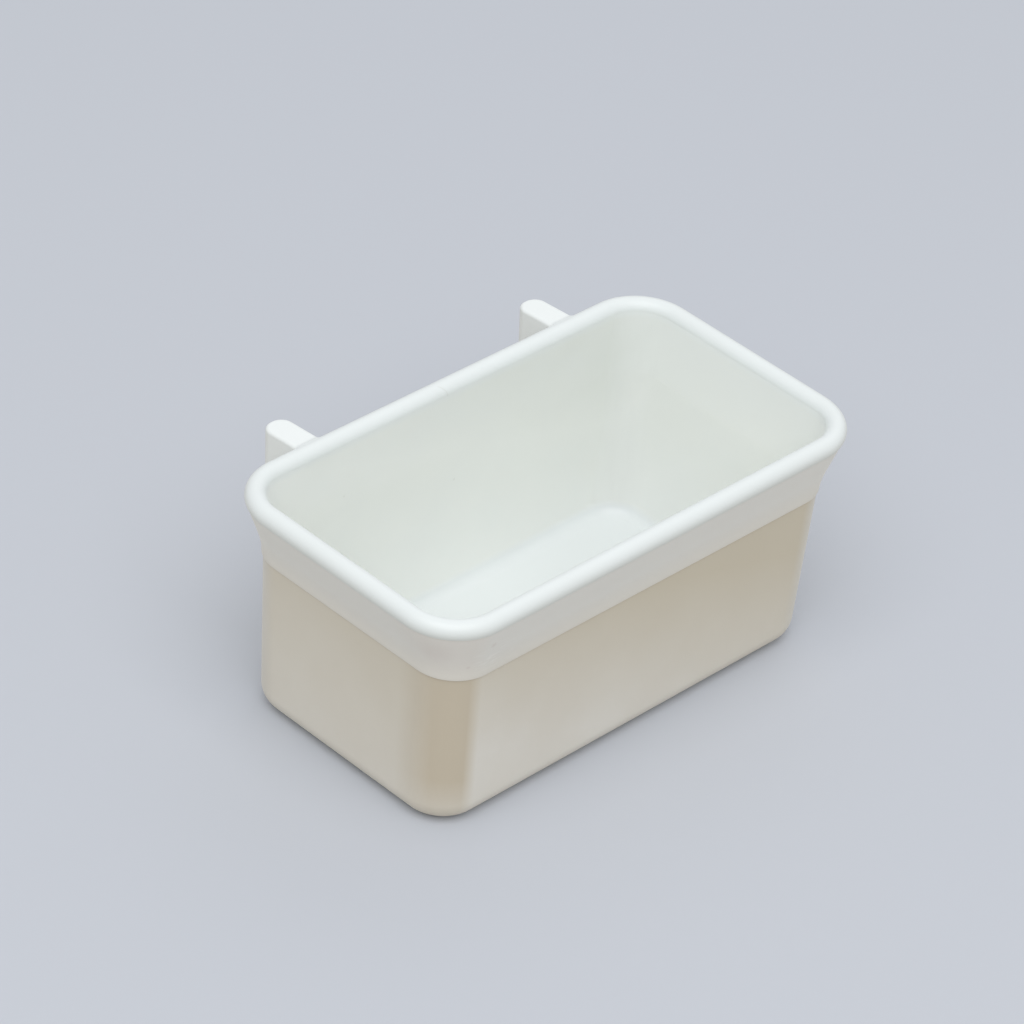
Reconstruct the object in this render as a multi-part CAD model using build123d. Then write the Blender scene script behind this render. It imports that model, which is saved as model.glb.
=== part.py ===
from build123d import *
import os
from math import cos, radians, sin, sqrt

# Hook-on seed cup: one moulding in polypropylene, divided at its moulded features.
# Millimetres. The origin is the middle of the flat underside, +Z up, +X along the cup,
# and +Y towards the back, where the two hooks are.

# Lip: a solid round bead around the mouth, seated on the collar a little below its middle
cup_height = 37.0
lip_length = 82.4
lip_width = 46.0
lip_corner = 9.0
lip_bead = 3.0
lip_seat = 0.9
lip_ledge = 0.1

# Wall and floor
wall = 1.2
floor = 1.4

# Collar: the flared band under the lip, whose foot stands a little proud of the tub
foot_height = 25.9
foot_length = 76.2
foot_width = 41.4
foot_corner = 6.5
foot_step = 0.25
flare_halfway = 0.38

# Tub: drafted, with a generous radius along its bottom edge
base_length = 74.0
base_width = 40.0
base_corner = 6.6
base_edge = 3.4

# Hooks: a straight arm with a blunt round end and a tongue that hangs from it
hook_spacing = 49.4
hook_width = 4.3
hook_gap = 4.2
hook_drop = 0.65
hook_droop = 4.0
hook_end_flat = 0.3
hook_edge = 0.6
arm_depth = 4.5
tongue_thickness = 3.2
tongue_length = 7.5

# The bead, the level of its seat on the collar and the seat's reach out from the bead's middle
bead_radius = lip_bead / 2
bead_height = cup_height - bead_radius
joint_height = bead_height - lip_seat
seat_reach = sqrt(bead_radius**2 - lip_seat**2)


def shrink(outline, inset):
    """The outline drawn in by the same amount on every side."""
    length, width, corner = outline
    return (length - 2 * inset, width - 2 * inset, corner - inset)


def level(outline, height):
    """The outline as a flat rounded rectangle at a height."""
    length, width, corner = outline
    return Pos(0, 0, height) * RectangleRounded(length, width, corner)


def between(lower, upper, share):
    """An outline part of the way from the lower one to the upper one."""
    return tuple(a + (b - a) * share for a, b in zip(lower, upper))


rim = (lip_length, lip_width, lip_corner)
foot = (foot_length, foot_width, foot_corner)
base = (base_length, base_width, base_corner)
bead_line = shrink(rim, bead_radius)
neck = shrink(bead_line, lip_ledge - seat_reach)
mouth_inside = shrink(rim, lip_bead)
tub_top = shrink(foot, foot_step)
pan_top = between(base, tub_top, base_edge / foot_height)


def bottom_edges(solid):
    """The edges around the lowest face of a solid."""
    return solid.faces().sort_by(Axis.Z)[0].edges()


def make_pan():
    """The floor and the round bottom edge, up to the level where that edge has turned upright."""
    outside = extrude(level(pan_top, 0), foot_height)
    outside = fillet(bottom_edges(outside), base_edge)
    hollow = extrude(level(shrink(pan_top, wall), floor), foot_height)
    hollow = fillet(bottom_edges(hollow), base_edge - floor)
    return split(outside - hollow, Plane.XY.offset(base_edge), keep=Keep.BOTTOM)


def make_wall():
    """The drafted wall of even thickness, from the round bottom edge to the collar's foot."""
    outside = loft([level(pan_top, base_edge), level(tub_top, foot_height)])
    hollow = loft([level(shrink(pan_top, wall), base_edge), level(shrink(tub_top, wall), foot_height)])
    return outside - hollow


def make_flare():
    """The outside of the collar as a filled block, leaning out faster towards the lip."""
    half_height = (foot_height + joint_height) / 2
    halfway = between(foot, neck, flare_halfway)
    return loft([level(foot, foot_height), level(halfway, half_height), level(neck, joint_height)])


def make_lip():
    """The bead swept once around the mouth, flat where it is seated and upright on its inner side."""
    inner_side = Line((-bead_radius, 0), (-bead_radius, -lip_seat))
    under_side = Line((-bead_radius, -lip_seat), (seat_reach, -lip_seat))
    round_side = ThreePointArc((seat_reach, -lip_seat), (0, bead_radius), (-bead_radius, 0))
    section = make_face([inner_side, under_side, round_side])
    path = level(bead_line, bead_height).wire()
    along = path % 0
    outward = along.cross(Vector(0, 0, 1))
    if outward.dot(path @ 0) < 0:
        outward = -outward
    start = Plane(origin=path @ 0, x_dir=outward, z_dir=outward.cross(Vector(0, 0, 1)))
    return sweep(start * section, path=path)


def hook_plan(near, far):
    """A strip of the hook seen from above, from near to far behind the lip, with its far corners rounded."""
    strip = Pos(0, (near + far) / 2) * Rectangle(hook_width, far - near)
    far_corners = strip.vertices().group_by(Axis.Y)[-1]
    return fillet(far_corners, (hook_width - hook_end_flat) / 2)


def hook_frame(side):
    """The top of the arm where it leaves the lip, drooping towards its end."""
    droop = radians(hook_droop)
    corner = (side * hook_spacing / 2, lip_width / 2, cup_height - hook_drop)
    return Plane(origin=corner, x_dir=(1, 0, 0), z_dir=(0, sin(droop), cos(droop)))


def make_hook(side, mouth):
    """One arm with a rounded top, cut to the outside of the rim, and its tongue with a chamfered tip."""
    reach = hook_gap + tongue_thickness
    arm = extrude(hook_plan(-lip_bead, reach), -arm_depth)
    arm = fillet(arm.faces().sort_by(Axis.Z)[-1].edges(), hook_edge)
    tongue = Pos(0, 0, -arm_depth) * extrude(hook_plan(hook_gap, reach), -tongue_length)
    tongue = chamfer(bottom_edges(tongue), hook_edge)
    frame = hook_frame(side)
    return frame * arm - mouth, frame * tongue


collar_outside = make_flare()
collar_hollow = loft([level(shrink(tub_top, wall), foot_height), level(mouth_inside, joint_height)])
lip = make_lip()
mouth_plug = extrude(level(bead_line, joint_height), cup_height - joint_height)
mouth = collar_outside + lip + mouth_plug
arm_left, tongue_left = make_hook(-1, mouth)
arm_right, tongue_right = make_hook(1, mouth)

nodes = {
    "base_pan": make_pan(),
    "tub_wall": make_wall(),
    "rim_collar": collar_outside - collar_hollow,
    "rim_lip": lip,
    "hook_arm_left": arm_left,
    "hook_tongue_left": tongue_left,
    "hook_arm_right": arm_right,
    "hook_tongue_right": tongue_right,
}

os.makedirs("parts", exist_ok=True)
for name, solid in nodes.items():
    export_step(solid, f"parts/{name}.step")
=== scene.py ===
from math import asin, cos, exp, pi, radians, sin, sqrt

import bmesh
import bpy
from mathutils import Matrix, Quaternion, Vector


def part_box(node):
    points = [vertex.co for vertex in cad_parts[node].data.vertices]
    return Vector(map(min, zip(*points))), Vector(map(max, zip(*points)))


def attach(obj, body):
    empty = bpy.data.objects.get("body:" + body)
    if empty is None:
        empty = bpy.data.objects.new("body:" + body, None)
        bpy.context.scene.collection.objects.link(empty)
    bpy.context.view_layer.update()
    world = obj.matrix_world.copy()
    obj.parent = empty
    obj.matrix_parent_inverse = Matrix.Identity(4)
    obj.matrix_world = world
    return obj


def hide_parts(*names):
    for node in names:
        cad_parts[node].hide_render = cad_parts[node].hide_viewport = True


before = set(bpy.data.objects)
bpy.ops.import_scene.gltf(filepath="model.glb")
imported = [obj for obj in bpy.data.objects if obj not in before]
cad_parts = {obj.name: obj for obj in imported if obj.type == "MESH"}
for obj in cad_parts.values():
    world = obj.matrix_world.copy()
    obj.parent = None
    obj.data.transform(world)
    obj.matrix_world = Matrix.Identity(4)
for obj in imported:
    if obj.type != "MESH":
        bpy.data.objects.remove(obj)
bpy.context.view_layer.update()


# Base pan: the flat floor of the cup, with the whole of its rounded bottom edge.
# White polypropylene, one moulding with the rest of the cup, filled through a gate in the
# middle of the underside, where a shallow dimple keeps the gate's stub off the table.
wall = 0.0012
floor = 0.0014
pan_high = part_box("base_pan")[1]
pan_corner = 0.00655
pan_outline = (2 * pan_high.x, 2 * pan_high.y, pan_corner)
bottom_edge = pan_high.z
gate_depth = 0.0003
dimple_mouth = 0.0026
dimple_bottom = 0.00234
stub_radius = 0.0007
stub_tip = 0.00056
stub_gap = 0.00006
stub_shoulder = 0.00009
corner_steps = 18
long_steps = 60
short_steps = 28
edge_steps = 10
floor_shares = (0.8, 0.5, 0.2)
joint_share = 0.02
smooth_below = radians(32)


def drawn_in(outline, inset):
    """A rounded rectangle (length, width, corner) drawn in by the same amount on every side."""
    length, width, corner = outline
    return (length - 2 * inset, width - 2 * inset, corner - inset)


def shares(steps):
    """Even shares from 0 to 1, and one close to each end, so that the shading runs on across a joint."""
    even = [step / steps for step in range(1, steps)]
    return [0, joint_share / steps, *even, 1 - joint_share / steps, 1]


def turn(outline, height):
    """One turn of points round the cup, with the same number of points for every outline."""
    length, width, corner = outline
    half_x = length / 2 - corner
    half_y = width / 2 - corner
    centres = ((half_x, -half_y), (half_x, half_y), (-half_x, half_y), (-half_x, -half_y))
    arcs = []
    for quarter, (x, y) in enumerate(centres, start=-1):
        angles = [radians(90 * (quarter + step / corner_steps)) for step in range(corner_steps + 1)]
        arcs.append([Vector((x + corner * cos(a), y + corner * sin(a), height)) for a in angles])
    points = []
    for index, arc in enumerate(arcs):
        after = arcs[(index + 1) % 4][0]
        steps = (short_steps, long_steps)[index % 2]
        points += arc
        points += [arc[-1].lerp(after, step / steps) for step in range(1, steps)]
    return points


def round_turn(radius, height):
    """One round turn with as many points as the cup's own."""
    count = len(turn(pan_outline, height))
    angles = [2 * pi * step / count - pi / 4 for step in range(count)]
    return [Vector((radius * cos(a), radius * sin(a), height)) for a in angles]


def flat_turns(outline, height):
    """Turns across a flat floor, from its edge towards the middle."""
    length, width, corner = outline
    return [turn((length * s, width * s, corner * s), height) for s in floor_shares]


def edge_turns(outline, low, radius, steps):
    """Turns up a rounded bottom edge, from flat to upright, under an outline."""
    turns = []
    for share in shares(steps):
        angle = share * pi / 2
        turns.append(turn(drawn_in(outline, radius * (1 - sin(angle))), low + radius * (1 - cos(angle))))
    return turns


def smooth_piece(name, mesh):
    """An object of a mesh, smooth apart from its real edges."""
    mesh.shade_smooth()
    mesh.set_sharp_from_angle(angle=smooth_below)
    piece = bpy.data.objects.new(name, mesh)
    bpy.context.scene.collection.objects.link(piece)
    return piece


def stacked(name, turns, closed):
    """A closed piece over a stack of turns, which is joined last to first or capped at both ends."""
    count = len(turns[0])
    stack = len(turns)
    faces = []
    for row in range(stack if closed else stack - 1):
        here = row * count
        above = (row + 1) % stack * count
        for step in range(count):
            after = (step + 1) % count
            faces.append((here + step, here + after, above + after, above + step))
    if not closed:
        faces.append(tuple(range(count)))
        faces.append(tuple(range((stack - 1) * count, stack * count)))
    mesh = bpy.data.meshes.new(name)
    mesh.from_pydata([point for points in turns for point in points], [], faces)
    shape = bmesh.new()
    shape.from_mesh(mesh)
    bmesh.ops.recalc_face_normals(shape, faces=shape.faces)
    shape.to_mesh(mesh)
    shape.free()
    return smooth_piece(name, mesh)


def node(tree, kind, inputs, **settings):
    """A shader node with its settings, and its inputs given as values or as other nodes' outputs."""
    made = tree.nodes.new(kind)
    for key, value in settings.items():
        setattr(made, key, value)
    for key, value in inputs.items():
        if isinstance(value, bpy.types.NodeSocket):
            tree.links.new(value, made.inputs[key])
        else:
            made.inputs[key].default_value = value
    return made


def maths(tree, operation, *values):
    """The result of a sum on values and outputs."""
    return node(tree, "ShaderNodeMath", dict(enumerate(values)), operation=operation).outputs[0]


def ranged(tree, value, low, high, new_low=0.0, new_high=1.0):
    """A value moved from one range to another, and kept inside it."""
    limits = {"Value": value, "From Min": low, "From Max": high, "To Min": new_low, "To Max": new_high}
    return node(tree, "ShaderNodeMapRange", limits).outputs["Result"]


def blended(tree, share, first, second, way="MIX"):
    """A colour between two, or the first one multiplied by the second."""
    colours = {0: share, 6: first, 7: second}
    return node(tree, "ShaderNodeMix", colours, data_type="RGBA", blend_type=way).outputs[2]


def new_group(name, inputs, outputs):
    """An empty shader group with named values in and out."""
    tree = bpy.data.node_groups.new(name, "ShaderNodeTree")
    for label in inputs:
        tree.interface.new_socket(label, in_out="INPUT", socket_type="NodeSocketFloat")
    for label in outputs:
        tree.interface.new_socket(label, in_out="OUTPUT", socket_type="NodeSocketFloat")
    return tree, tree.nodes.new("NodeGroupInput"), tree.nodes.new("NodeGroupOutput")


def make_moulded_skin():
    """The skin that a polished mould leaves on polypropylene: cloudy, faintly wavy and grained."""
    grain_share = 0.12
    tree, given, result = new_group("moulded_skin", ["Cloud Scale", "Grain Scale"], ["Cloud", "Height"])
    place = node(tree, "ShaderNodeTexCoord", {}).outputs["Object"]
    cloud = {"Vector": place, "Scale": given.outputs["Cloud Scale"], "Detail": 4.0}
    cloud = node(tree, "ShaderNodeTexNoise", cloud).outputs["Fac"]
    grain = {"Vector": place, "Scale": given.outputs["Grain Scale"], "Detail": 2.0}
    grain = node(tree, "ShaderNodeTexNoise", grain).outputs["Fac"]
    fine = maths(tree, "MULTIPLY", grain, grain_share)
    tree.links.new(cloud, result.inputs["Cloud"])
    tree.links.new(maths(tree, "ADD", cloud, fine), result.inputs["Height"])
    return tree


def make_shell_side():
    """Where a point of the thin shell is: outside or inside, how steep and how high, with masks of
    painted shade and painted light at its corners.
    """
    # Where each mask begins and ends, by place, by height or by the way that the surface faces
    downward = -0.02
    outside_range = (-0.002, 0.002)
    corner_shade_facing = (-0.35, -0.05)
    corner_shade_places = (-0.0168, -0.0108)
    corner_shade_heights = (0.0, 0.008)
    corner_shade_foot = 0.3
    corner_light_range = (-0.42, -0.02)
    inner_shade_range = (0.0, 0.45)
    inner_shade_heights = (0.010, 0.032)
    inner_shade_mouth = 0.2
    steep_range = (0.05, 0.55)
    end_squeeze = -0.5
    end_lift = 0.006
    places = ["Outside", "Painted Shade Corner", "Painted Light Corner", "Inner Shade Corner", "Steep", "Height"]
    tree, given, result = new_group("shell_side", ["Lean"], places)
    coordinates = node(tree, "ShaderNodeTexCoord", {})
    normal = coordinates.outputs["Normal"]
    x, y, z = node(tree, "ShaderNodeSeparateXYZ", {"Vector": coordinates.outputs["Object"]}).outputs
    facing_x, facing_y, facing_z = node(tree, "ShaderNodeSeparateXYZ", {"Vector": normal}).outputs

    outward = node(tree, "ShaderNodeCombineXYZ", {"X": x, "Y": y, "Z": downward}).outputs["Vector"]
    along = node(tree, "ShaderNodeVectorMath", {0: outward, 1: normal}, operation="DOT_PRODUCT")
    outside = ranged(tree, along.outputs["Value"], *outside_range)
    tree.links.new(outside, result.inputs["Outside"])

    # Painted shade: a darker, warmer strip down the front-left corner, weaker near the bottom
    warm_shade = maths(
        tree, "MULTIPLY",
        ranged(tree, facing_x, *corner_shade_facing, 1.0, 0.0),
        ranged(tree, y, *corner_shade_places, 1.0, 0.0),
    )
    warm_shade = maths(tree, "MULTIPLY", warm_shade, ranged(tree, z, *corner_shade_heights, corner_shade_foot, 1.0))
    tree.links.new(warm_shade, result.inputs["Painted Shade Corner"])

    across = maths(tree, "MULTIPLY", facing_x, facing_y)
    # Painted light: a paler strip down the corners that face back-left and front-right
    tree.links.new(ranged(tree, across, *corner_light_range, 1.0, 0.0), result.inputs["Painted Light Corner"])
    # Painted shade in the inside corners at the back right and front left, strongest low down
    inner_shade = ranged(tree, across, *inner_shade_range)
    inner_shade = maths(tree, "MULTIPLY", inner_shade, ranged(tree, z, *inner_shade_heights, 1.0, inner_shade_mouth))
    tree.links.new(inner_shade, result.inputs["Inner Shade Corner"])

    level = maths(tree, "ABSOLUTE", facing_z)
    tree.links.new(ranged(tree, level, *steep_range, 1.0, 0.0), result.inputs["Steep"])

    # Height, which the painted light and shade follow: leaning along the long sides, and lifted low down
    # on the outsides of the ends
    ends = maths(tree, "MULTIPLY", outside, maths(tree, "MULTIPLY", facing_x, facing_x))
    evened = maths(tree, "MULTIPLY", ends, maths(tree, "MULTIPLY_ADD", z, end_squeeze, end_lift))
    leaning = maths(tree, "MULTIPLY", maths(tree, "MULTIPLY", x, facing_y), given.outputs["Lean"])
    height = maths(tree, "ADD", z, maths(tree, "ADD", leaning, evened))
    tree.links.new(height, result.inputs["Height"])
    return tree


moulded_skin = make_moulded_skin()
shell_side = make_shell_side()
# How far the painted light and shade on the thin shell slope along its long sides
light_lean = -0.28


def new_plastic(name):
    """A material with a shader set for polypropylene and the moulded skin's grain on it."""
    cloud_range = (0.3, 0.7)
    satin = (0.34, 0.44)
    made = bpy.data.materials.new(name)
    made.use_nodes = True
    tree = made.node_tree
    shader = tree.nodes["Principled BSDF"]
    shader.inputs["IOR"].default_value = 1.49
    shader.inputs["Sheen Weight"].default_value = 0.3
    shader.inputs["Sheen Roughness"].default_value = 0.35
    surface = node(tree, "ShaderNodeGroup", {}, node_tree=moulded_skin)
    surface.inputs["Cloud Scale"].default_value = 85.0
    surface.inputs["Grain Scale"].default_value = 2600.0
    bump = {"Height": surface.outputs["Height"], "Strength": 0.3, "Distance": 0.0001}
    bump = node(tree, "ShaderNodeBump", bump)
    tree.links.new(bump.outputs["Normal"], shader.inputs["Normal"])
    roughness = ranged(tree, surface.outputs["Cloud"], *cloud_range, *satin)
    tree.links.new(roughness, shader.inputs["Roughness"])
    return made, tree, shader, surface


def clouded(tree, surface, colour, shade):
    """A colour with faint clouds of a deeper shade in it."""
    cloud_range = (0.35, 0.7)
    deepest = 0.16
    share = ranged(tree, surface.outputs["Cloud"], *cloud_range, 0.0, deepest)
    return blended(tree, share, colour, shade)


def spot(tree, centre, radius):
    """A mask that is 1 at a place on the cup and fades out around it."""
    core = 0.3 * radius
    here = node(tree, "ShaderNodeTexCoord", {}).outputs["Object"]
    away = node(tree, "ShaderNodeVectorMath", {0: here, 1: centre}, operation="DISTANCE")
    return ranged(tree, away.outputs["Value"], core, radius, 1.0, 0.0)


def inside_colour(tree, side, surface):
    """The white of the inside, lightest at the foot of the wall by painted light, darker towards the
    mouth and in two corners by painted shade, and darker on the flat floor than on the walls.
    """
    wall_heights = (0.003, 0.020)
    mouth_heights = (0.026, 0.038)
    lit_foot_white = (0.97, 0.985, 0.95, 1)
    wall_white = (0.93, 0.95, 0.905, 1)
    shaded_mouth_white = (0.83, 0.857, 0.81, 1)
    floor_white = (0.835, 0.87, 0.87, 1)
    shade_spot_place = (0.036, 0.018, 0.008)
    shade_spot_radius = 0.030
    painted_shade_grey = (0.94, 0.94, 0.945, 1)
    height = side.outputs["Height"]
    # Painted light: the inside lightest at the foot of the wall, with painted shade towards the mouth
    colour = blended(tree, ranged(tree, height, *wall_heights), lit_foot_white, wall_white)
    colour = blended(tree, ranged(tree, height, *mouth_heights), colour, shaded_mouth_white)
    # Painted light: the steep walls lighter than the flat floor
    colour = blended(tree, side.outputs["Steep"], floor_white, colour)
    # Painted shade in two inside corners and over the far right of the inside
    for share in (side.outputs["Inner Shade Corner"], spot(tree, shade_spot_place, shade_spot_radius)):
        colour = blended(tree, share, colour, painted_shade_grey, "MULTIPLY")
    return clouded(tree, surface, colour, floor_white)


def make_shell_plastic(name, low, high, warm_shade, pale, speck):
    """White polypropylene in a thin wall with one dark speck, its outside darker and warmer than its
    inside, partly its own tone and partly painted shade.
    """
    lit_tone_heights = (0.003, 0.026)
    speck_radius = 0.0003
    speck_strength = 0.15
    speck_brown = (0.42, 0.40, 0.35, 1)
    made, tree, shader, surface = new_plastic(name)
    side = node(tree, "ShaderNodeGroup", {"Lean": light_lean}, node_tree=shell_side)
    # Painted light: the outside lighter low down and darker, warmer high up; then painted shade at the
    # near corner and painted light at the far corners
    outer = blended(tree, ranged(tree, side.outputs["Height"], *lit_tone_heights), low, high)
    outer = blended(tree, side.outputs["Painted Shade Corner"], outer, warm_shade)
    outer = blended(tree, side.outputs["Painted Light Corner"], outer, pale)
    outer = clouded(tree, surface, outer, warm_shade)
    colour = blended(tree, side.outputs["Outside"], inside_colour(tree, side, surface), outer)
    speckled = maths(tree, "MULTIPLY", spot(tree, speck, speck_radius), speck_strength)
    colour = blended(tree, speckled, colour, speck_brown)
    tree.links.new(colour, shader.inputs["Base Color"])
    return made, tree, shader, side, colour


# The tub's outside: lighter low down as painted light from below; its darker, warmer high tone is partly
# the plastic's own cream and partly painted shade
tub_plastic = make_shell_plastic(
    "tub_plastic",
    low=(0.84, 0.822, 0.775, 1),
    high=(0.682, 0.624, 0.505, 1),
    warm_shade=(0.645, 0.575, 0.46, 1),
    pale=(0.775, 0.757, 0.71, 1),
    speck=(0.0013, 0.0191, 0.0207),
)[0]
pan_inside = drawn_in(pan_outline, wall)
inner_edge = bottom_edge - floor
pan_turns = [
    round_turn(stub_tip, stub_gap),
    round_turn(stub_radius, stub_shoulder),
    round_turn(stub_radius, gate_depth),
    round_turn(dimple_bottom, gate_depth),
    round_turn(dimple_mouth, 0),
    *reversed(flat_turns(drawn_in(pan_outline, bottom_edge), 0)),
    *edge_turns(pan_outline, 0, bottom_edge, edge_steps),
    *reversed(edge_turns(pan_inside, floor, inner_edge, edge_steps)),
    *flat_turns(drawn_in(pan_inside, inner_edge), floor),
]
base_pan = stacked("base_pan", pan_turns, closed=False)
base_pan.data.materials.append(tub_plastic)
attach(base_pan, "root")
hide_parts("base_pan")


# Tub wall: the drafted side of the cup, from the rounded bottom edge to the foot of the collar.
# The same moulding as the pan, an even 1.2 mm thick, with the draft that lets it leave the mould.
tub_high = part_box("tub_wall")[1]
tub_corner = 0.00625
tub_top = (2 * tub_high.x, 2 * tub_high.y, tub_corner)
foot_height = tub_high.z
wall_steps = 16


def between(low, high, share):
    """An outline part of the way from one to another."""
    return tuple(a + (b - a) * share for a, b in zip(low, high))


wall_turns = []
for inset, side_shares in ((0, shares(wall_steps)), (wall, reversed(shares(wall_steps)))):
    for share in side_shares:
        outline = drawn_in(between(pan_outline, tub_top, share), inset)
        wall_turns.append(turn(outline, bottom_edge + (foot_height - bottom_edge) * share))
tub_wall = stacked("tub_wall", wall_turns, closed=True)
tub_wall.data.materials.append(tub_plastic)
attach(tub_wall, "root")
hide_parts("tub_wall")


# Rim collar: the band under the lip that flares outwards, more at the ends than along the sides.
# It is thicker than the tub below it, so it looks whiter, and its foot stands a hair proud.
# Behind each hook the inside has sunk a little, where the thick root shrank as it cooled.
foot = (0.0762, 0.0414, 0.0065)
foot_round = 0.0002
foot_steps = 4
collar_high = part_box("rim_collar")[1]
lip_joint = collar_high.z
neck_corner = 0.0086
neck = (2 * collar_high.x, 2 * collar_high.y, neck_corner)
lip_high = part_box("rim_lip")[1]
lip_corner = 0.0090
lip_outline = (2 * lip_high.x, 2 * lip_high.y, lip_corner)
bead_radius = 0.0015
bead_height = lip_high.z - bead_radius
mouth_slope = 0.65
collar_steps = 14
hook_low, hook_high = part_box("hook_arm_right")
hook_place = (hook_low.x + hook_high.x) / 2
sink_depth = 0.00014
sink_radius = 0.0026
sink_height = 0.0322
collar_white = (0.88, 0.885, 0.865, 1)
collar_cream = (0.82, 0.797, 0.74, 1)
cream_height = 0.004
# Each mark of use: its place, its radius and how strong it is
rub_mark = ((-0.0386, -0.0177, 0.0313), 0.003, 0.22)
nick_mark = ((-0.0318, -0.0219, 0.0318), 0.0006, 0.4)
dot_mark = ((-0.0347, -0.0203, 0.0284), 0.0004, 0.4)
mark_brown = (0.72, 0.66, 0.64, 1)
scuff_place = (-0.0306, -0.0212, 0.0299)
scuff_radius = 0.0045
scuff_strength = 0.6
scuff_white = (0.95, 0.95, 0.93, 1)
streak_scale = (500, 500, 3000)
streak_range = (0.54, 0.68)


def flared(height):
    """The outside of the collar, which starts upright and then leans out to the lip."""
    rise = (height - foot_height) / (lip_joint - foot_height)
    return between(foot, neck, rise**2 * (2 - rise))


def mouth(height):
    """The inside of the collar, which carries on from the tub and leans out to the bead's middle."""
    rise = (height - foot_height) / (bead_height - foot_height)
    inside = drawn_in(lip_outline, 2 * bead_radius)
    return between(drawn_in(tub_top, wall), inside, rise * (mouth_slope + (1 - mouth_slope) * rise))


def sunk(points):
    """Points of the inside, moved back into the sink marks behind the hooks."""
    moved = []
    for point in points:
        away = ((abs(point.x) - hook_place) ** 2 + (point.z - sink_height) ** 2) / sink_radius**2
        behind = sink_depth * exp(-away) if point.y > 0 else 0.0
        moved.append(point + Vector((0, behind, 0)))
    return moved


def make_collar_plastic():
    """The shell's plastic in the collar's white, darker and creamier just above its foot, with painted
    shade and painted light at its corners and marks of use at the front left.
    """
    made, tree, shader, side, colour = make_shell_plastic(
        "collar_plastic",
        low=collar_white,
        high=collar_white,
        # Painted shade at the near corner, and painted light at the far corners
        warm_shade=(0.85, 0.83, 0.80, 1),
        pale=(0.94, 0.945, 0.92, 1),
        speck=(-0.0204, 0.0192, 0.0273),
    )
    here = node(tree, "ShaderNodeTexCoord", {}).outputs["Object"]
    height = node(tree, "ShaderNodeSeparateXYZ", {"Vector": here}).outputs["Z"]
    creamy = ranged(tree, height, foot_height, foot_height + cream_height, 1.0, 0.0)
    creamy = maths(tree, "MULTIPLY", creamy, side.outputs["Outside"])
    colour = blended(tree, creamy, colour, collar_cream)
    for place, radius, strength in (rub_mark, nick_mark, dot_mark):
        marked = maths(tree, "MULTIPLY", spot(tree, place, radius), strength)
        colour = blended(tree, marked, colour, mark_brown)
    streaks = node(tree, "ShaderNodeMapping", {"Vector": here, "Scale": streak_scale}).outputs["Vector"]
    streaks = node(tree, "ShaderNodeTexNoise", {"Vector": streaks, "Scale": 1.0, "Detail": 3.0})
    streaks = ranged(tree, streaks.outputs["Fac"], *streak_range)
    scuffed = maths(tree, "MULTIPLY", streaks, spot(tree, scuff_place, scuff_radius))
    scuffed = maths(tree, "MULTIPLY", scuffed, scuff_strength)
    tree.links.new(blended(tree, scuffed, colour, scuff_white), shader.inputs["Base Color"])
    return made


collar_plastic = make_collar_plastic()
flare_low = foot_height + foot_round
flare_heights = [flare_low + (lip_joint - flare_low) * share for share in shares(collar_steps)]
mouth_heights = [foot_height + (lip_joint - foot_height) * share for share in shares(collar_steps)]
collar_turns = [
    turn(tub_top, foot_height),
    *edge_turns(foot, foot_height, foot_round, foot_steps),
    *[turn(flared(height), height) for height in flare_heights[1:]],
    *[sunk(turn(mouth(height), height)) for height in reversed(mouth_heights)],
]
rim_collar = stacked("rim_collar", collar_turns, closed=True)
rim_collar.data.materials.append(collar_plastic)
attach(rim_collar, "root")
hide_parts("rim_collar")


# Rim lip: the solid round bead around the mouth, moulded as one with the collar.
# It is thick enough to be opaque, and overhangs the collar by a hair, which leaves a crisp line.
# A slanting hairline at the back is the weld where the two streams of plastic met.
inner_steps = 4
bead_steps = 36
rim_white = (0.845, 0.888, 0.883, 1)
rim_shade = (0.78, 0.81, 0.79, 1)
hook_highlight_white = (0.915, 0.95, 0.94, 1)
hook_fade = 0.0004
weld_place = -0.0021
weld_slant = -0.95
weld_width = 0.00022
weld_end = (-0.0005, -0.0002)
weld_strength = 0.22
weld_grey = (0.55, 0.54, 0.48, 1)

inner_heights = [lip_joint + (bead_height - lip_joint) * share for share in shares(inner_steps)]
lip_turns = [sunk(turn(mouth(height), height)) for height in inner_heights]
bead_end = asin((lip_joint - bead_height) / bead_radius)
for share in shares(bead_steps)[1:]:
    angle = pi + (bead_end - pi) * share
    bead_turn = drawn_in(lip_outline, bead_radius * (1 - cos(angle)))
    lip_turns.append(turn(bead_turn, bead_height + bead_radius * sin(angle)))
rim_lip = stacked("rim_lip", lip_turns, closed=True)


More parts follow.
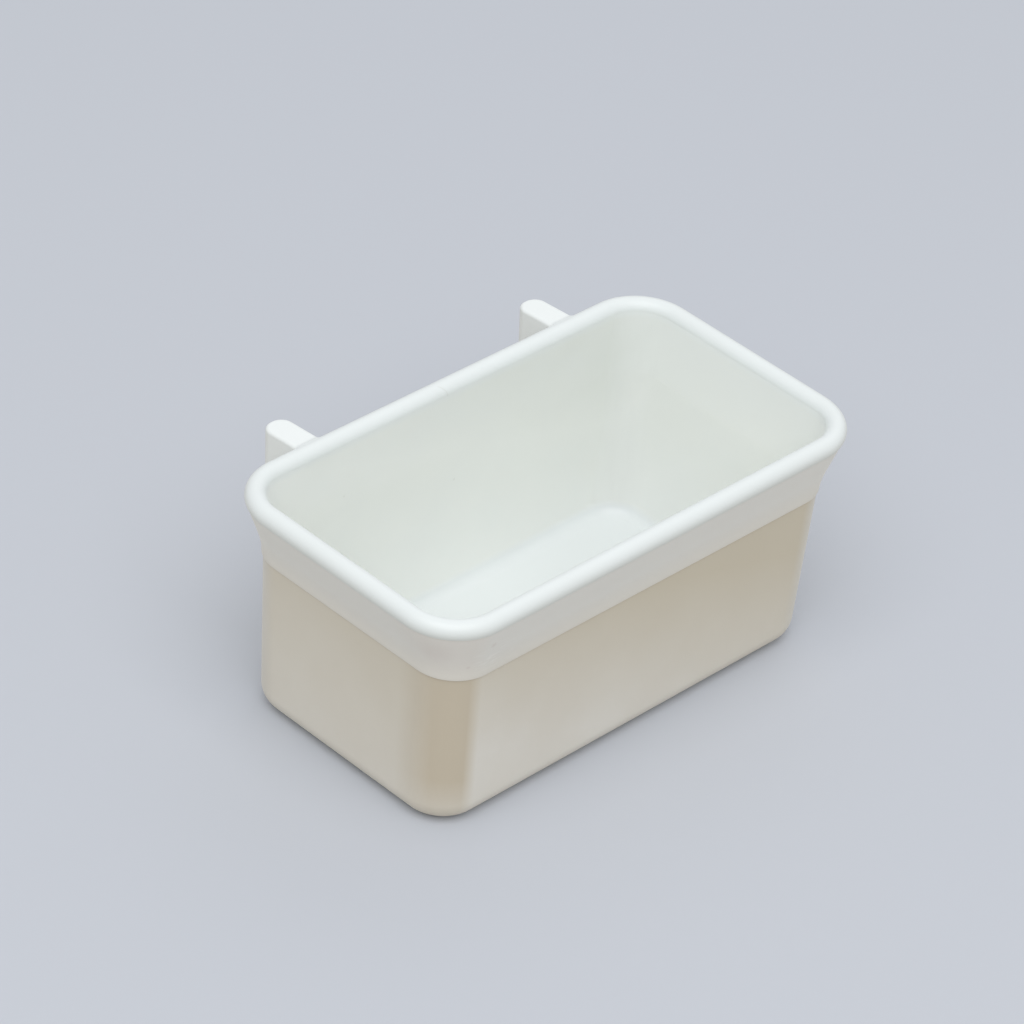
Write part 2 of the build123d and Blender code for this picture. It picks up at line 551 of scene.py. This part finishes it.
def make_rim_plastic():
    """White polypropylene where it is thick: opaque and cooler, with a painted highlight whitening the
    hooks, and the weld line.
    """
    made, tree, shader, surface = new_plastic("rim_plastic")
    here = node(tree, "ShaderNodeTexCoord", {}).outputs["Object"]
    here = node(tree, "ShaderNodeSeparateXYZ", {"Vector": here})
    behind = maths(tree, "SUBTRACT", here.outputs["Y"], lip_high.y - bead_radius)
    slanted = maths(tree, "MULTIPLY_ADD", behind, weld_slant, weld_place)
    beside = maths(tree, "ABSOLUTE", maths(tree, "SUBTRACT", here.outputs["X"], slanted))
    weld = ranged(tree, beside, 0.0, weld_width, weld_strength, 0.0)
    weld = maths(tree, "MULTIPLY", weld, ranged(tree, behind, *weld_end, 1.0, 0.0))
    weld = maths(tree, "MULTIPLY", weld, maths(tree, "GREATER_THAN", behind, -bead_radius))
    side = node(tree, "ShaderNodeGroup", {"Lean": light_lean}, node_tree=shell_side)
    below = ranged(tree, here.outputs["Z"], lip_joint, bead_height + bead_radius / 2, 1.0, 0.0)
    inward = maths(tree, "MULTIPLY", below, maths(tree, "SUBTRACT", 1.0, side.outputs["Outside"]))
    colour = clouded(tree, surface, rim_white, rim_shade)
    colour = blended(tree, inward, colour, inside_colour(tree, side, surface))
    # Painted highlight: the hooks whiter than the lip
    hook_highlight = ranged(tree, behind, bead_radius - hook_fade, bead_radius + hook_fade)
    colour = blended(tree, hook_highlight, colour, clouded(tree, surface, hook_highlight_white, rim_white))
    tree.links.new(blended(tree, weld, colour, weld_grey), shader.inputs["Base Color"])
    return made


rim_plastic = make_rim_plastic()
rim_lip.data.materials.append(rim_plastic)
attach(rim_lip, "root")
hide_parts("rim_lip")


# Hooks: two blunt arms behind the lip, each with a tongue that hangs from its end.
# Solid white polypropylene, moulded as one with the lip, drooping slightly, with all edges eased,
# and with a small round blend where the top of the arm runs into the bead.
hook_width = hook_high.x - hook_low.x
hook_drop = 0.00065
hook_droop = radians(4)
hook_gap = 0.0042
hook_reach = 0.00738
hook_end_round = 0.0020
hook_end_steps = 14
hook_edge = 0.0005
hook_edge_steps = 5
arm_depth = 0.0045
tongue_length = 0.0075
root_depth = 0.0025
blend_radius = 0.0018
blend_depth = 0.0012
blend_steps = 6
blend_hidden = 0.0007
blend_centre = bead_radius - hook_drop + blend_radius
blend_far = sqrt((bead_radius + blend_radius) ** 2 - blend_centre**2) - bead_radius
blend_near = (blend_far + bead_radius) * bead_radius / (bead_radius + blend_radius) - bead_radius
blend_end = blend_near - blend_hidden


def blend_rise(out):
    """How far the top of the arm rises at its root, up to the bead and then down again inside it."""
    inside = max(0.0, (min(out, blend_near) - blend_end) / (blend_near - blend_end))
    across = min(0.0, max(out, blend_near) - blend_far)
    return inside * (blend_radius - sqrt(blend_radius**2 - across**2))


def eased(shape, edges, radius, steps):
    """Edges of a shape rounded off to a radius."""
    bmesh.ops.bevel(
        shape, geom=edges, offset=radius, offset_type="OFFSET", segments=steps, profile=0.5,
        affect="EDGES", clamp_overlap=False,
    )


def make_hook(name, place):
    """An L-shaped strip, its far end rounded first, then its edges eased, and its root blended last."""
    side = [
        (hook_reach, 0),
        (hook_reach, -arm_depth - tongue_length),
        (hook_gap, -arm_depth - tongue_length),
        (hook_gap, -arm_depth),
        (-root_depth, -arm_depth),
        (-root_depth, 0),
        (blend_end, 0),
    ]
    for step in range(blend_steps + 1):
        side.append((blend_near + (blend_far - blend_near) * step / blend_steps, 0))
    shape = bmesh.new()
    left = [shape.verts.new((-hook_width / 2, out, up)) for out, up in side]
    right = [shape.verts.new((hook_width / 2, out, up)) for out, up in side]
    shape.faces.new(left)
    shape.faces.new(reversed(right))
    for here in range(len(side)):
        after = (here + 1) % len(side)
        shape.faces.new((left[here], right[here], right[after], left[after]))
    bmesh.ops.recalc_face_normals(shape, faces=shape.faces)
    ends = [shape.edges.get((row[0], row[1])) for row in (left, right)]
    eased(shape, ends, hook_end_round, hook_end_steps)
    corners = [edge for edge in shape.edges if edge.calc_face_angle(0) > smooth_below]
    eased(shape, corners, hook_edge, hook_edge_steps)
    for vert in shape.verts:
        vert.co.z += blend_rise(vert.co.y) * max(0.0, 1 + vert.co.z / blend_depth)
    mesh = bpy.data.meshes.new(name)
    shape.to_mesh(mesh)
    shape.free()
    top = Matrix.Translation((place, lip_high.y, lip_high.z - hook_drop))
    mesh.transform(top @ Matrix.Rotation(-hook_droop, 4, "X"))
    return smooth_piece(name, mesh)


for name, side in (("left", -1), ("right", 1)):
    hook = make_hook(f"hook_{name}", side * hook_place)
    hook.modifiers.new("flat_faces", "WEIGHTED_NORMAL").keep_sharp = True
    hook.data.materials.append(rim_plastic)
    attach(hook, "root")
    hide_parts(f"hook_arm_{name}", f"hook_tongue_{name}")


# Stage: a plain pale floor under the cup, with its far edge out of sight.
# Soft light comes from a wide lamp high over the front left, a faint one at the back right,
# and the pale surroundings.
floor_reach = 3.0
floor_colour = (0.585, 0.61, 0.662, 1)
floor_bounce = (0.52, 0.505, 0.475, 1)
overhead_place = Vector((-0.38, -0.37, 1.0))
overhead_size = 1.3
overhead_power = 7.6
fill_place = Vector((0.62, 0.30, 0.62))
fill_size = 0.9
fill_power = 0.7
room_light = 0.56
room_colour = (0.97, 0.985, 1.0, 1)
backdrop_colour = (0.60, 0.62, 0.67, 1)

floor_mesh = bpy.data.meshes.new("stage_floor")
floor_corners = [(-1, -1, 0), (1, -1, 0), (1, 1, 0), (-1, 1, 0)]
floor_mesh.from_pydata([Vector(corner) * floor_reach for corner in floor_corners], [], [(0, 1, 2, 3)])
stage_floor = bpy.data.objects.new("stage_floor", floor_mesh)
bpy.context.scene.collection.objects.link(stage_floor)
floor_paint = bpy.data.materials.new("floor_paint")
floor_paint.use_nodes = True
floor_tree = floor_paint.node_tree
floor_shader = floor_tree.nodes["Principled BSDF"]
floor_ray = node(floor_tree, "ShaderNodeLightPath", {}).outputs["Is Camera Ray"]
floor_shown = blended(floor_tree, floor_ray, floor_bounce, floor_colour)
floor_tree.links.new(floor_shown, floor_shader.inputs["Base Color"])
floor_shader.inputs["Roughness"].default_value = 0.9
floor_shader.inputs["Specular IOR Level"].default_value = 0.1
floor_mesh.materials.append(floor_paint)


def add_lamp(name, place, size, power):
    """A wide round lamp that faces the cup."""
    light = bpy.data.lights.new(name, "AREA")
    light.shape = "DISK"
    light.size = size
    light.energy = power
    lamp = bpy.data.objects.new(name, light)
    lamp.location = place
    lamp.rotation_mode = "QUATERNION"
    lamp.rotation_quaternion = (-place).to_track_quat("-Z", "Y")
    bpy.context.scene.collection.objects.link(lamp)


add_lamp("overhead_lamp", overhead_place, overhead_size, overhead_power)
add_lamp("fill_lamp", fill_place, fill_size, fill_power)

room = bpy.data.worlds.new("pale_room")
room.use_nodes = True
bpy.context.scene.world = room
room_tree = room.node_tree
room_tree.nodes["Background"].inputs["Color"].default_value = room_colour
room_tree.nodes["Background"].inputs["Strength"].default_value = room_light
backdrop = node(room_tree, "ShaderNodeBackground", {"Color": backdrop_colour, "Strength": 1.0})
ray = node(room_tree, "ShaderNodeLightPath", {})
seen = maths(room_tree, "MAXIMUM", ray.outputs["Is Camera Ray"], ray.outputs["Is Glossy Ray"])
shown = {0: seen, 1: room_tree.nodes["Background"].outputs[0], 2: backdrop.outputs[0]}
shown = node(room_tree, "ShaderNodeMixShader", shown)
room_tree.links.new(shown.outputs[0], room_tree.nodes["World Output"].inputs["Surface"])


# Camera: a long lens well back from the cup, above it and to the left of its front.
# It is tipped a little to one side, as in the photograph.
camera_target = Vector((0.00074, 0.00692, 0.02227))
camera_azimuth = radians(47.80)
camera_elevation = radians(35.86)
camera_roll = radians(5.864)
camera_distance = 0.68213
camera_lens = 170.74
away = Vector((
    -sin(camera_azimuth) * cos(camera_elevation),
    -cos(camera_azimuth) * cos(camera_elevation),
    sin(camera_elevation),
))
lens = bpy.data.cameras.new("photo_camera")
lens.lens = camera_lens
lens.sensor_width = 36
lens.clip_start = 0.05
camera = bpy.data.objects.new("photo_camera", lens)
camera.location = camera_target + away * camera_distance
camera.rotation_mode = "QUATERNION"
camera.rotation_quaternion = (-away).to_track_quat("-Z", "Y") @ Quaternion((0, 0, 1), camera_roll)
bpy.context.scene.collection.objects.link(camera)
bpy.context.scene.camera = camera
bpy.context.scene.view_settings.view_transform = "Standard"
